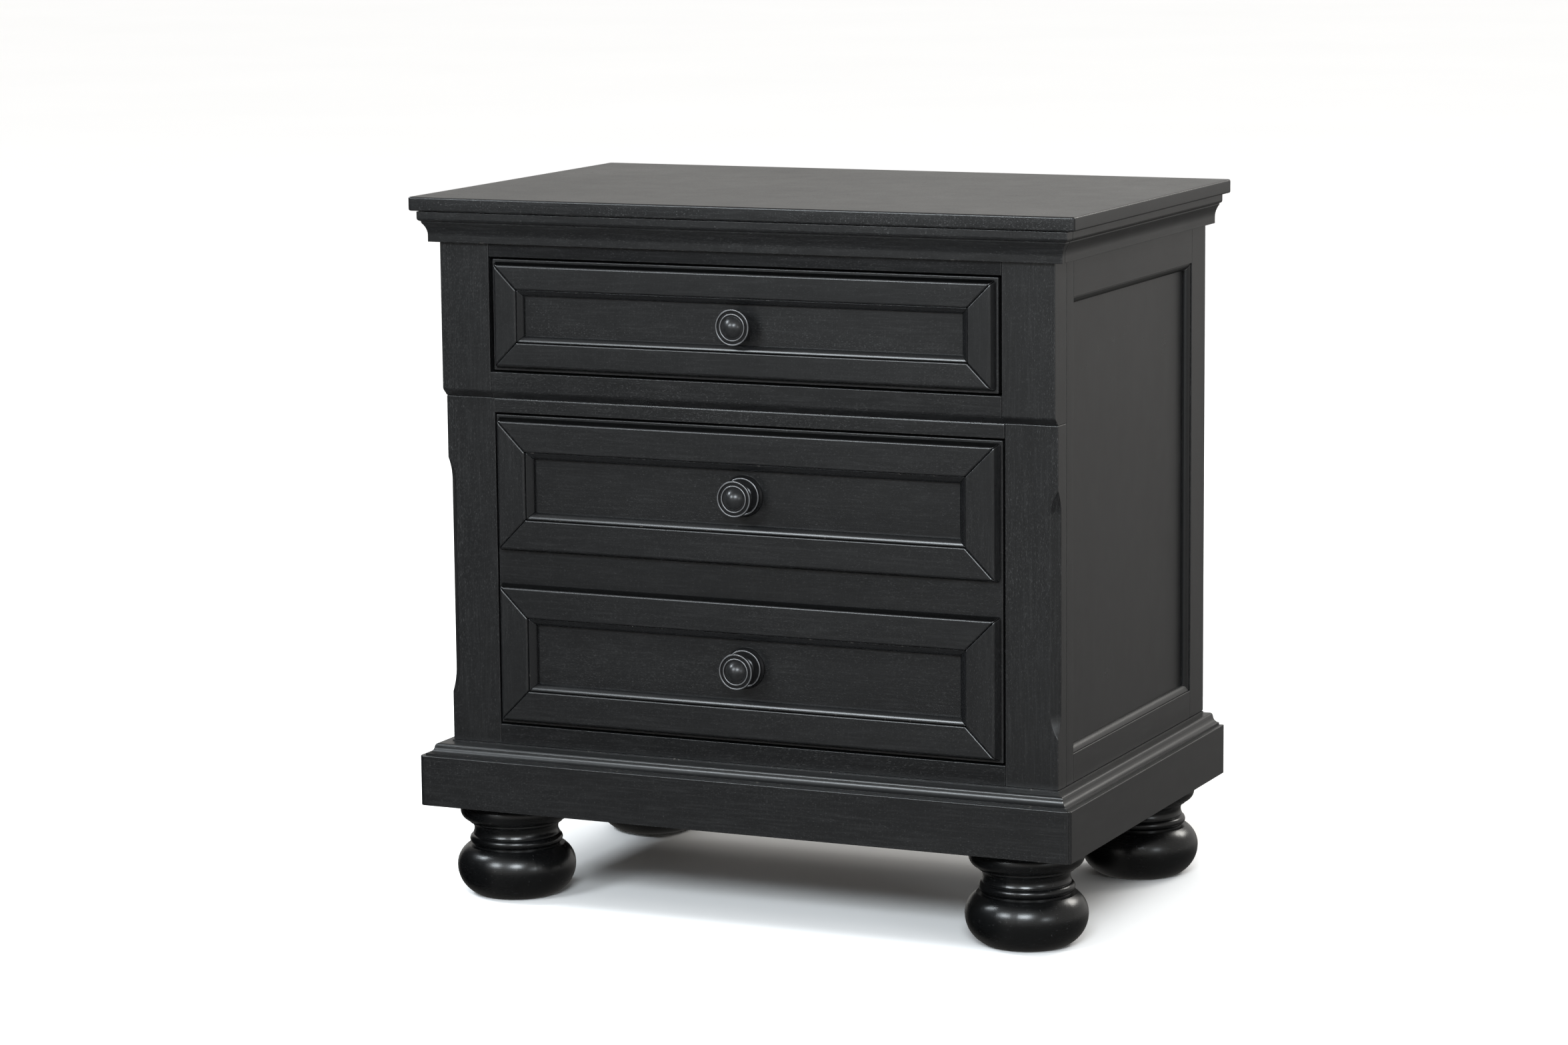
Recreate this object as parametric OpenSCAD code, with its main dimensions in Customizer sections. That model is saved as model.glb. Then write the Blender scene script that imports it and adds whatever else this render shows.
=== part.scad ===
// Nightstand with a hidden tray drawer, a shallow drawer and a deep drawer.
// Millimetres, +Z up, front faces -Y. Origin: centre of the footprint, on the floor.

/* [Top] */
// Width of the top slab, side to side
top_w = 711; // [706:1:730]
// Thickness of the top slab
top_t = 14; // [12:1:18]
// Corner radius of the top slab
top_corner_r = 4; // [2:1:8]

/* [Case] */
// Overall depth, plinth front to slab back
total_d = 459; // [450:1:480]
// Width of the case between its outer side faces
case_w = 659; // [650:1:664]
// Height of the deep drawer opening
low_open_h = 319.1; // [300:0.1:340]
// Height of the shallow drawer opening
top_open_h = 115.6; // [110:0.1:130]
// Height of the crown band that hides the tray drawer
crown_h = 32; // [30:1:36]
// Width of each front stile
stile_w = 54.6; // [50:0.1:60]
// Step between the upper and lower stile faces
stile_step = 8; // [6:1:10]

/* [Plinth and feet] */
// Height of the turned feet
foot_h = 99; // [95:1:105]
// Height of the plinth boards
plinth_h = 51.5; // [46:0.5:60]
// Thickness of the plinth boards
plinth_t = 20; // [18:1:24]
// Distance of each foot axis from the centre line
foot_x = 281; // [276:1:286]

/* [Drawer faces] */
// Thickness of the shallow drawer face frame
top_frame_t = 8.2; // [6:0.1:10]
// Thickness of the deep drawer face frames
low_frame_t = 10.2; // [8:0.1:11]
// Member width of the shallow drawer face frame
top_frame_w = 27.5; // [22:0.5:32]
// Member width of the deep drawer face frames
low_frame_w = 33.8; // [28:0.1:38]
// Slope run along the outer edge of the face frames
frame_run = 3.8; // [2:0.1:5]
// Width of the bead inside each face frame
bead_w = 6; // [5:0.5:8]

/* [Drawer boxes] */
// Depth of the two main drawer boxes behind the front board
box_d = 376; // [340:1:380]
// Thickness of the drawer sides
box_t = 12; // [10:1:14]
// Length of the side slides
slide_l = 350; // [300:5:355]

/* [Knobs] */
// Diameter of the knob disc
knob_dia = 36.8; // [30:0.2:38]

/* [Hidden] */
round_fn = 96;
joint_gap = 0.12;
seam = 0.1;
half_w = case_w / 2;
half_d = total_d / 2;

// depth stations
upper_y = -half_d + 23.5;
lower_y = upper_y + stile_step;
stile_back_y = upper_y + 30;
case_back_y = half_d - 5;
plinth_back_y = half_d - 8;
slab_front_y = -half_d + 5;
foot_front_y = -157.5;
foot_back_y = 164;
back_t = 6;
back_y0 = case_back_y - back_t - 2;

// height stations
plinth_top = foot_h + plinth_h;
shelf_z = plinth_top + 11.5;
case_z0 = shelf_z + 1.2;
low_open_z0 = shelf_z + 21.5;
low_open_z1 = low_open_z0 + low_open_h;
step_z = low_open_z1 + 14.8;
top_open_z0 = low_open_z1 + 41.6;
top_open_z1 = top_open_z0 + top_open_h;
crown_z0 = top_open_z1 + 13.2;
slab_z0 = crown_z0 + crown_h;

// openings between the stiles
open_x = half_w - stile_w;
rail_x = open_x - seam / 2;
side_t = 20;
inner_x = half_w - side_t;

// side frames
side_y0 = stile_back_y + seam;
panel_y0 = stile_back_y + 19.5;
panel_y1 = case_back_y - 41.5;
panel_z0 = shelf_z + 29.8;
panel_z1 = slab_z0 - 69;
panel_t = 8;
side_recess = 8;
side_bead_w = 6.5;
bead_spread = 1.6;

// crown moulding, measured out from the case side
crown_foot = 9.8;
crown_out = 17.8;
cove_r = 19.5;
cove_z = 7;
band_z = crown_h - 10.5;
band_in = 14.6;
nose_r = 3.2;
front_shift = 3;
tray_gap = 0.4;
tray_lift = 0.7;

// cap moulding above the plinth
cap_out = 18.7;
cap_fillet = 2;
cap_cove_r = 6.7;
cap_nose_x = 8.8;
cap_nose_r = 3;
cap_h = shelf_z - plinth_top;
cap_lip = 1.2;
cap_depth = 48;
cap_lip_y = lower_y - 0.7;
plinth_out = 24;
plinth_x = half_w + plinth_out;
plinth_corner_r = 6;
bolt_dia = 7.4;
bolt_hole = 8;

// stopped chamfer on the lower stiles
chamfer_z0 = 213;
chamfer_z1 = 454.5;
chamfer_depth = 5.66;
chamfer_stop = 24;
chamfer_r = 53.7;

// drawer fronts
top_board_y = upper_y + 1.5;
low_board_y = lower_y - 0.5;
board_t = 18;
top_board_x = open_x - 3.7;
low_board_x = open_x - 1.9;
board_lip = 1.8;
top_board_z0 = top_open_z0 + 2.1;
top_board_z1 = top_open_z1 - 2.1;
low_board_z0 = low_open_z0 + 2.3;
low_board_z1 = low_open_z1 - 2.1;
strip_z0 = low_board_z0 + 144.1;
strip_z1 = strip_z0 + 32.6;
top_face_x = top_board_x - board_lip;
low_face_x = low_board_x - board_lip;
top_face_z = (top_board_z0 + top_board_z1) / 2;
top_face_b = (top_board_z1 - top_board_z0) / 2 - board_lip;
mid_face_z = (strip_z1 + low_board_z1 - board_lip) / 2;
mid_face_b = (low_board_z1 - board_lip - strip_z1) / 2;
bot_face_z = (low_board_z0 + board_lip + strip_z0) / 2;
bot_face_b = (strip_z0 - low_board_z0 - board_lip) / 2;

// drawer boxes
slide_t = 12.7;
box_x = open_x - slide_t - 0.6;
box_in = box_x - box_t;
top_box_z0 = top_open_z0 + 11.8;
top_box_z1 = top_box_z0 + 84;
low_box_z0 = low_open_z0 + 16.5;
low_box_z1 = low_box_z0 + 240;
box_floor_t = 6;
box_floor_up = 8;
top_slide_z = top_box_z0 + 30;
low_slide_z = low_box_z0 + 60;
slide_y0 = stile_back_y + 0.2;
slide_y1 = slide_y0 + slide_l;

// tray drawer behind the crown
web_t = 10;
tray_x = 268;
tray_wall = 10;
tray_z0 = crown_z0 + 0.8;
tray_z1 = slab_z0 - 4.5;
tray_y1 = 110;
tray_floor_t = 4;

// knobs
knob_r = knob_dia / 2;
knob_rim = 1.3;
knob_ridge = 0.8;
knob_disc_y = 15.8;
top_knob_down = 0.8;
low_knob_up = 2;
rosette_r = knob_r + 2.4;
rosette_t = 6.7;
rosette_ring = 0.9;

// a board given by its two corners
module board(x0, x1, y0, y1, z0, z1) {
  translate([x0, y0, z0]) cube([x1 - x0, y1 - y0, z1 - z0]);
}

// the same children on both sides of the centre line
module both_sides() {
  children();
  mirror([1, 0, 0]) children();
}

// 2-D outline in (Y, Z), run along X from x0 to x1
module along_x(x0, x1) {
  translate([x0, 0, 0]) rotate([90, 0, 90]) linear_extrude(x1 - x0) children();
}

// 2-D outline in (X, Z), run along Y from y0 to y1
module along_y(y0, y1) {
  translate([0, y1, 0]) rotate([90, 0, 0]) linear_extrude(y1 - y0) children();
}

// ---- mitred frames -------------------------------------------------------

// one mitred member: outer edge on z = 0, back on y = 0, front toward -Y
module mitred_member(half_l, width, deep) {
  intersection() {
    along_x(-half_l, half_l) children();
    along_y(-deep - 1, 1)
      polygon([[-half_l + joint_gap, 0], [half_l - joint_gap, 0],
        [half_l - width - joint_gap, width], [-half_l + width + joint_gap, width]]);
  }
}

// four mitred members round an opening, outer half sizes a (X) and b (Z)
module mitred_frame(a, b, width, deep) {
  translate([0, 0, -b]) mitred_member(a, width, deep) children();
  translate([0, 0, b]) mirror([0, 0, 1]) mitred_member(a, width, deep) children();
  translate([-a, 0, 0]) rotate([0, 90, 0]) mitred_member(b, width, deep) children();
  translate([a, 0, 0]) rotate([0, -90, 0]) mitred_member(b, width, deep) children();
}

// flat face member with a sloped outer edge
module face_outline(width, deep) {
  polygon([[0, 0], [-deep, frame_run], [-deep, width], [0, width]]);
}

// ovolo bead that falls from the frame toward the panel
module bead_outline(width, deep) {
  turn_r = width + bead_spread;
  intersection() {
    translate([-deep, 0]) square([deep, width]);
    translate([turn_r - deep, -0.6]) circle(r = turn_r, $fn = round_fn);
  }
}

// ---- top and crown -------------------------------------------------------

module top_panel() {
  slab_hw = top_w / 2;
  color("#2b2c2e") translate([0, 0, slab_z0]) linear_extrude(top_t) union() {
    translate([-slab_hw, slab_front_y + top_corner_r])
      square([top_w, half_d - slab_front_y - 2 * top_corner_r]);
    translate([-slab_hw + top_corner_r, slab_front_y])
      square([top_w - 2 * top_corner_r, half_d - slab_front_y]);
    for (x = [-slab_hw + top_corner_r, slab_hw - top_corner_r])
      for (y = [slab_front_y + top_corner_r, half_d - top_corner_r])
        translate([x, y]) circle(r = top_corner_r, $fn = round_fn);
  }
}

// crown outline: distance out from the case, height above the crown foot
module crown_outline(z_foot, z_head) {
  translate([0, z_foot]) square([crown_foot, z_head - z_foot]);
  difference() {
    translate([0, cove_z]) square([band_in, band_z - cove_z]);
    translate([crown_foot + cove_r, cove_z]) circle(r = cove_r, $fn = round_fn);
  }
  translate([0, band_z]) square([band_in, z_head - band_z]);
  translate([0, band_z + nose_r]) square([crown_out, z_head - band_z - nose_r]);
  translate([crown_out - nose_r, band_z + nose_r]) circle(r = nose_r, $fn = round_fn);
}

module cornice_right() {
  color("#2d2e30") translate([half_w, 0, crown_z0])
    along_y(upper_y + 0.2, case_back_y + 1) translate([seam / 2, 0])
      crown_outline(0.5, crown_h);
}

module cornice_left() {
  color("#2d2e30") mirror([1, 0, 0]) cornice_right();
}

module cornice_front() {
  reach = half_w + crown_out;
  color("#2d2e30") translate([0, 0, crown_z0]) intersection() {
    along_x(-reach, reach) intersection() {
      translate([upper_y + front_shift, 0]) mirror([1, 0, 0])
        crown_outline(0.5, crown_h - tray_lift);
      translate([upper_y - 40, 0]) square([40 - tray_gap, crown_h]);
    }
    along_y(upper_y - 40, upper_y) {
      translate([-half_w - 2, 0.5]) square([case_w + 4, crown_h - 0.5 - tray_lift]);
      translate([half_w, 0]) crown_outline(0.5, crown_h - tray_lift);
      mirror([1, 0, 0]) translate([half_w, 0]) crown_outline(0.5, crown_h - tray_lift);
    }
  }
}

// ---- face frame ----------------------------------------------------------

module upper_stile_right() {
  color("#2e2f31") along_x(open_x, half_w)
    polygon([[stile_back_y, step_z], [upper_y + stile_step, step_z],
      [upper_y + 2.6, step_z + 5], [upper_y + 0.9, step_z + 6.2],
      [upper_y, step_z + 8.4], [upper_y, slab_z0], [stile_back_y, slab_z0]]);
}

module upper_stile_left() {
  color("#2e2f31") mirror([1, 0, 0]) upper_stile_right();
}

// cutter for the chamfer: flat between two round stops
module chamfer_cutter() {
  straight = chamfer_z1 - chamfer_z0 - 2 * chamfer_stop;
  translate([half_w, lower_y, chamfer_z0 + chamfer_stop]) rotate([0, 0, -45])
    along_y(-15, 15) translate([chamfer_r - chamfer_depth, 0]) {
      translate([-chamfer_r, 0]) square([chamfer_r, straight]);
      circle(r = chamfer_r, $fn = round_fn);
      translate([0, straight]) circle(r = chamfer_r, $fn = round_fn);
    }
}

module lower_stile_right() {
  color("#2e2f31") difference() {
    board(open_x, half_w, lower_y, stile_back_y, case_z0, step_z - seam);
    chamfer_cutter();
  }
}

module lower_stile_left() {
  color("#2e2f31") mirror([1, 0, 0]) lower_stile_right();
}

module frieze_rail() {
  color("#2e2f31") board(-rail_x, rail_x, upper_y, upper_y + 20, top_open_z1, crown_z0);
}

module middle_rail() {
  color("#2e2f31") along_x(-rail_x, rail_x)
    polygon([[upper_y + 28, low_open_z1], [lower_y - 0.8, low_open_z1],
      [lower_y - 0.8, step_z - 1.2], [lower_y, step_z - 0.6],
      [upper_y + 5.4, step_z + 1.6], [upper_y + 3.2, step_z + 4.4],
      [upper_y + 0.9, step_z + 6.2], [upper_y, step_z + 8.4],
      [upper_y, top_open_z0], [upper_y + 28, top_open_z0]]);
}

module bottom_rail() {
  color("#2e2f31") board(-rail_x, rail_x, lower_y, stile_back_y, case_z0, low_open_z0);
}

// ---- sides, back and inner boards ----------------------------------------

// two stiles and two rails of one side, cut square, with hairline joints
module side_frame_right() {
  color("#2f3031") {
    board(inner_x, half_w, side_y0, panel_y0, case_z0, slab_z0);
    board(inner_x, half_w, panel_y1, case_back_y, case_z0, slab_z0);
    board(inner_x, half_w, panel_y0 + seam, panel_y1 - seam, case_z0, panel_z0);
    board(inner_x, half_w, panel_y0 + seam, panel_y1 - seam, panel_z1, slab_z0);
  }
}

module side_frame_left() {
  color("#2f3031") mirror([1, 0, 0]) side_frame_right();
}

module side_panel_right() {
  x1 = half_w - side_recess;
  color("#2f3031") board(x1 - panel_t, x1, panel_y0 + 0.2, panel_y1 - 0.2,
    panel_z0 + 0.1, panel_z1 - 0.1);
}

module side_panel_left() {
  color("#2f3031") mirror([1, 0, 0]) side_panel_right();
}

module side_bead_right() {
  mid_y = (panel_y0 + panel_y1) / 2;
  mid_z = (panel_z0 + panel_z1) / 2;
  bead_deep = side_recess - 1.4;
  color("#303133") translate([half_w - side_recess, mid_y, mid_z]) rotate([0, 0, 90])
    mitred_frame((panel_y1 - panel_y0) / 2 - 0.2, (panel_z1 - panel_z0) / 2 - 0.1,
      side_bead_w, bead_deep) bead_outline(side_bead_w, bead_deep);
}

module side_bead_left() {
  color("#303133") mirror([1, 0, 0]) side_bead_right();
}

module back_panel() {
  x1 = inner_x - seam;
  color("#6b5a45") board(-x1, x1, back_y0, back_y0 + back_t, case_z0, slab_z0 - seam);
}

module base_board() {
  x1 = inner_x - seam;
  color("#8a7355") board(-x1, x1, side_y0, back_y0 - seam, case_z0, case_z0 + 12);
}

module upper_web() {
  x1 = inner_x - seam;
  color("#8a7355") difference() {
    board(-x1, x1, upper_y + 20.1, back_y0 - seam, crown_z0 - web_t, crown_z0);
    both_sides() board(open_x - seam, inner_x, upper_y, side_y0, 0, slab_z0);
  }
}

module tray_guides() {
  color("#a58a66") both_sides()
    board(tray_x + 0.7, tray_x + 12, stile_back_y + 0.2, 150, crown_z0, crown_z0 + 18);
}

// ---- plinth, cap and feet ------------------------------------------------

// plan outline of the whole plinth, front corners rounded
module plinth_plan() {
  translate([-plinth_x + plinth_corner_r, -half_d])
    square([2 * (plinth_x - plinth_corner_r), plinth_back_y + half_d]);
  translate([-plinth_x, -half_d + plinth_corner_r])
    square([2 * plinth_x, plinth_back_y + half_d - plinth_corner_r]);
  for (x = [-plinth_x + plinth_corner_r, plinth_x - plinth_corner_r])
    translate([x, -half_d + plinth_corner_r]) circle(r = plinth_corner_r, $fn = round_fn);
}

module plinth_front() {
  color("#2c2d2f") translate([0, 0, foot_h]) linear_extrude(plinth_h) intersection() {
    plinth_plan();
    polygon([[-plinth_x, -half_d], [plinth_x, -half_d],
      [plinth_x - plinth_t, -half_d + plinth_t], [-plinth_x + plinth_t, -half_d + plinth_t]]);
  }
}

module plinth_right() {
  color("#2c2d2f") translate([0, 0, foot_h]) linear_extrude(plinth_h) intersection() {
    plinth_plan();
    polygon([[plinth_x, -half_d + joint_gap], [plinth_x, plinth_back_y],
      [plinth_x - plinth_t, plinth_back_y],
      [plinth_x - plinth_t, -half_d + plinth_t + joint_gap]]);
  }
}

module plinth_left() {
  color("#2c2d2f") mirror([1, 0, 0]) plinth_right();
}

// back board of the plinth, stepped up between the caps to meet the back panel
module plinth_back() {
  x1 = plinth_x - plinth_t - seam;
  x2 = half_w + cap_out - cap_depth - seam;
  color("#2c2d2f") union() {
    board(-x1, x1, plinth_back_y - 18, plinth_back_y, foot_h, plinth_top);
    board(-x2, x2, plinth_back_y - 18, plinth_back_y, foot_h, case_z0 - seam);
  }
}

// cap outline: distance out from the case, height above the plinth
module cap_outline(inward) {
  translate([-inward, 0]) square([inward + cap_out, cap_fillet]);
  difference() {
    translate([-inward, cap_fillet]) square([inward + cap_out, cap_h - cap_nose_r - cap_fillet]);
    translate([cap_out, cap_fillet + cap_cove_r]) circle(r = cap_cove_r, $fn = round_fn);
  }
  translate([-inward, cap_h - cap_nose_r]) square([inward + cap_nose_x, cap_nose_r]);
  translate([cap_nose_x, cap_h - cap_nose_r]) circle(r = cap_nose_r, $fn = round_fn);
}

module cap_front() {
  reach = half_w + cap_out;
  front = upper_y - cap_out + 0.5;
  color("#2d2e30") translate([0, 0, plinth_top]) intersection() {
    union() {
      along_x(-reach, reach) translate([upper_y + 0.5, 0]) mirror([1, 0, 0])
        cap_outline(cap_depth - cap_out);
      board(-reach, reach, cap_lip_y, front + cap_depth, cap_h, cap_h + cap_lip);
    }
    linear_extrude(cap_h + 2 * cap_lip)
      polygon([[-reach, front], [reach, front],
        [reach - cap_depth, front + cap_depth], [-reach + cap_depth, front + cap_depth]]);
  }
}

module cap_right() {
  reach = half_w + cap_out;
  front = upper_y - cap_out + 0.5 + joint_gap;
  color("#2d2e30") translate([0, 0, plinth_top]) intersection() {
    union() {
      along_y(front, plinth_back_y) translate([half_w, 0]) cap_outline(cap_depth - cap_out);
      board(reach - cap_depth, half_w + cap_lip, cap_lip_y, plinth_back_y, cap_h, cap_h + cap_lip);
    }
    linear_extrude(cap_h + 2 * cap_lip)
      polygon([[reach, front], [reach, plinth_back_y],
        [reach - cap_depth, plinth_back_y], [reach - cap_depth, front + cap_depth]]);
  }
}

module cap_left() {
  color("#2d2e30") mirror([1, 0, 0]) cap_right();
}

module corner_blocks() {
  x0 = 238;
  x1 = plinth_x - plinth_t - seam;
  color("#a58a66") both_sides() difference() {
    union() {
      board(x0, x1, -half_d + plinth_t + seam, -120, foot_h, plinth_top);
      board(x0, x1, 126, plinth_back_y - 18 - seam, foot_h, plinth_top);
    }
    for (y = [foot_front_y, foot_back_y])
      translate([foot_x, y, foot_h - 1]) cylinder(d = bolt_hole, h = 28, $fn = 32);
  }
}

// turned profile of a foot: bun, ring, neck and collar
module foot_outline() {
  bun_z = 30;
  square([39.5, foot_h]);
  intersection() {
    translate([28.8, bun_z]) circle(r = 32, $fn = round_fn);
    square([80, bun_z]);
  }
  intersection() {
    translate([35.8, bun_z]) circle(r = 25, $fn = round_fn);
    translate([0, bun_z]) square([80, 21]);
  }
  translate([0, 51]) square([44.2, 2]);
  translate([42.6, 57.2]) circle(r = 5, $fn = round_fn);
  translate([0, 52.5]) square([42.6, 9.6]);
  translate([0, 62]) square([44, 1.6]);
  difference() {
    translate([0, 63.6]) square([46.6, 12]);
    translate([52.2, 68.2]) circle(r = 9.2, $fn = round_fn);
  }
  translate([0, 75.6]) square([48, 2]);
  intersection() {
    translate([46, 88]) circle(r = 11, $fn = round_fn);
    translate([0, 77.6]) square([80, foot_h - 77.6]);
  }
}

module feet() {
  color("#232427") both_sides() for (y = [foot_front_y, foot_back_y])
    translate([foot_x, y, 0]) difference() {
      rotate_extrude($fn = round_fn) foot_outline();
      translate([0, 0, foot_h - 40]) cylinder(d = bolt_hole, h = 41, $fn = 32);
    }
}

module foot_bolts() {
  color("#9a9da1") both_sides() for (y = [foot_front_y, foot_back_y])
    translate([foot_x, y, foot_h - 38]) cylinder(d = bolt_dia, h = 63, $fn = 32);
}

// ---- slides --------------------------------------------------------------

// open channel: web at web_x, lips reaching to lip_x, half height hh
module channel(web_x, lip_x, hh, z) {
  wall = 1.4;
  toward = lip_x > web_x ? 1 : -1;
  x0 = min(web_x, web_x + toward * wall);
  lip0 = min(web_x, lip_x);
  lip1 = max(web_x, lip_x);
  board(x0, x0 + wall, slide_y0, slide_y1, z - hh, z + hh);
  board(lip0, lip1, slide_y0, slide_y1, z + hh - wall, z + hh);
  board(lip0, lip1, slide_y0, slide_y1, z - hh, z - hh + wall);
}

module slide_cleats() {
  color("#a58a66") both_sides() for (z = [top_slide_z, low_slide_z])
    board(open_x, inner_x - seam, slide_y0, back_y0 - seam, z - 22.5, z + 22.5);
}

module case_slides() {
  color("#b9bcc0") both_sides() for (z = [top_slide_z, low_slide_z])
    channel(open_x - seam, open_x - 10.4, 22.5, z);
}

module top_slide_mids() {
  color("#b0b3b8") both_sides() channel(open_x - 2.4, open_x - 10.8, 20, top_slide_z);
}

module low_slide_mids() {
  color("#b0b3b8") both_sides() channel(open_x - 2.4, open_x - 10.8, 20, low_slide_z);
}

module top_slides() {
  color("#b9bcc0") both_sides() channel(box_x + seam, open_x - 4.8, 17, top_slide_z);
}

module low_slides() {
  color("#b9bcc0") both_sides() channel(box_x + seam, open_x - 4.8, 17, low_slide_z);
}

// ---- tray drawer ---------------------------------------------------------

module tray_front() {
  y0 = upper_y - tray_gap + 0.05;
  color("#a58a66") board(-tray_x, tray_x, y0, upper_y + 14, tray_z0, tray_z1);
}

module tray_side_right() {
  color("#b59a74") board(tray_x - tray_wall, tray_x, upper_y + 14.1, tray_y1, tray_z0, tray_z1);
}

module tray_side_left() {
  color("#b59a74") mirror([1, 0, 0]) tray_side_right();
}

module tray_back() {
  x1 = tray_x - tray_wall - seam;
  color("#b59a74") board(-x1, x1, tray_y1 - tray_wall, tray_y1, tray_z0, tray_z1);
}

module tray_floor() {
  x1 = tray_x - tray_wall - seam;
  color("#3a3230") board(-x1, x1, upper_y + 14.1, tray_y1 - tray_wall - seam,
    tray_z0 + 1, tray_z0 + 1 + tray_floor_t);
}

// ---- drawer boxes --------------------------------------------------------

module box_side(front_y, z0, z1) {
  color("#b59a74") board(box_in, box_x, front_y + board_t + seam, front_y + board_t + box_d, z0, z1);
}

module box_back(front_y, z0, z1) {
  back = front_y + board_t + box_d;
  color("#b59a74") board(-box_in + seam, box_in - seam, back - box_t, back, z0, z1);
}

module box_floor(front_y, z0) {
  back = front_y + board_t + box_d - box_t - seam;
  color("#c2a983") board(-box_in + seam, box_in - seam, front_y + board_t + seam, back,
    z0 + box_floor_up, z0 + box_floor_up + box_floor_t);
}

module top_side_right() {
  box_side(top_board_y, top_box_z0, top_box_z1);
}

module top_side_left() {
  mirror([1, 0, 0]) top_side_right();
}

module top_back() {
  box_back(top_board_y, top_box_z0, top_box_z1);
}

module top_floor() {
  box_floor(top_board_y, top_box_z0);
}

module low_side_right() {
  box_side(low_board_y, low_box_z0, low_box_z1);
}

module low_side_left() {
  mirror([1, 0, 0]) low_side_right();
}

module low_back() {
  box_back(low_board_y, low_box_z0, low_box_z1);
}

module low_floor() {
  box_floor(low_board_y, low_box_z0);
}

// ---- drawer faces --------------------------------------------------------

module top_front_board() {
  color("#2c2d2f") board(-top_board_x, top_board_x, top_board_y, top_board_y + board_t,
    top_board_z0, top_board_z1);
}

module top_face_frame() {
  color("#2e2f31") translate([0, top_board_y, top_face_z])
    mitred_frame(top_face_x, top_face_b, top_frame_w, top_frame_t)
      face_outline(top_frame_w, top_frame_t);
}

module top_bead() {
  bead_deep = top_frame_t - 1.8;
  color("#303133") translate([0, top_board_y, top_face_z])
    mitred_frame(top_face_x - top_frame_w - 0.3, top_face_b - top_frame_w - 0.3,
      bead_w, bead_deep) bead_outline(bead_w, bead_deep);
}

module low_front_board() {
  color("#2c2d2f") board(-low_board_x, low_board_x, low_board_y, low_board_y + board_t,
    low_board_z0, low_board_z1);
}

module low_face(z, half_b) {
  translate([0, low_board_y, z]) mitred_frame(low_face_x, half_b, low_frame_w, low_frame_t)
    face_outline(low_frame_w, low_frame_t);
}

module low_upper_frame() {
  color("#2e2f31") low_face(mid_face_z, mid_face_b);
}

module low_lower_frame() {
  color("#2e2f31") low_face(bot_face_z, bot_face_b);
}

module low_bead(z, half_b) {
  bead_deep = low_frame_t - 2.4;
  translate([0, low_board_y, z])
    mitred_frame(low_face_x - low_frame_w - 0.3, half_b - low_frame_w - 0.3,
      bead_w + 1, bead_deep) bead_outline(bead_w + 1, bead_deep);
}

module low_beads() {
  color("#303133") {
    low_bead(mid_face_z, mid_face_b);
    low_bead(bot_face_z, bot_face_b);
  }
}

// ---- knobs ---------------------------------------------------------------

// turned outline: radius, distance from the seat
module knob_outline() {
  rim_x = knob_r - knob_rim;
  ridge_x = knob_r - 5.5;
  dome_r = knob_r - 7;
  polygon([[0, 0], [9, 0], [9, 1.4], [6.6, 2.8], [6, 8.8], [8.4, 12.8],
    [rim_x - 2, knob_disc_y - 0.5], [rim_x, knob_disc_y], [0, knob_disc_y]]);
  translate([0, knob_disc_y]) square([rim_x, 1.4]);
  translate([rim_x, knob_disc_y + knob_rim]) circle(r = knob_rim, $fn = round_fn);
  translate([0, knob_disc_y + 1.3]) square([ridge_x, 0.6]);
  translate([ridge_x, knob_disc_y + 1.9]) circle(r = knob_ridge, $fn = round_fn);
  intersection() {
    translate([0, knob_disc_y + 8.4 - dome_r]) circle(r = dome_r, $fn = round_fn);
    translate([0, knob_disc_y + 1.8]) square([dome_r, 7]);
  }
}

module knob(z, seat_y) {
  translate([0, seat_y, z]) rotate([90, 0, 0]) rotate_extrude($fn = round_fn) knob_outline();
}

module top_knob() {
  color("#1f2022") knob(top_face_z - top_knob_down, top_board_y);
}

module low_knobs() {
  seat = low_board_y - rosette_t;
  color("#1f2022") {
    knob(mid_face_z + low_knob_up, seat);
    knob(bot_face_z + low_knob_up, seat);
  }
}

module rosette_outline() {
  ring_x = rosette_r - 2;
  ring_y = rosette_t - rosette_ring;
  polygon([[0, 0], [rosette_r, 0], [rosette_r, 1.4], [rosette_r - 0.5, 2.4],
    [rosette_r - 1.6, 3.5], [ring_x, 4.6], [ring_x, ring_y], [ring_x - rosette_ring, ring_y],
    [ring_x - 2 * rosette_ring, 6], [11.4, 6.1], [10.4, rosette_t], [0, rosette_t]]);
  translate([ring_x - rosette_ring, ring_y]) circle(r = rosette_ring, $fn = round_fn);
}

module low_rosettes() {
  color("#1f2022") for (z = [mid_face_z, bot_face_z])
    translate([0, low_board_y, z + low_knob_up]) rotate([90, 0, 0])
      rotate_extrude($fn = round_fn) rosette_outline();
}

top_panel();
cornice_left();
cornice_right();
upper_stile_left();
upper_stile_right();
lower_stile_left();
lower_stile_right();
frieze_rail();
middle_rail();
bottom_rail();
side_frame_left();
side_frame_right();
side_panel_left();
side_panel_right();
side_bead_left();
side_bead_right();
back_panel();
base_board();
upper_web();
tray_guides();
plinth_front();
plinth_left();
plinth_right();
plinth_back();
cap_front();
cap_left();
cap_right();
corner_blocks();
feet();
foot_bolts();
slide_cleats();
case_slides();
cornice_front();
tray_front();
tray_side_left();
tray_side_right();
tray_back();
tray_floor();
top_front_board();
top_face_frame();
top_bead();
top_side_left();
top_side_right();
top_back();
top_floor();
top_knob();
top_slides();
low_front_board();
low_upper_frame();
low_lower_frame();
low_beads();
low_side_left();
low_side_right();
low_back();
low_floor();
low_knobs();
low_rosettes();
low_slides();
top_slide_mids();
low_slide_mids();
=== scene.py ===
"""Looks for the nightstand: black satin paint over open-pored wood, in a plain studio."""

import math

import bpy
from mathutils import Matrix, Vector


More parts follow.
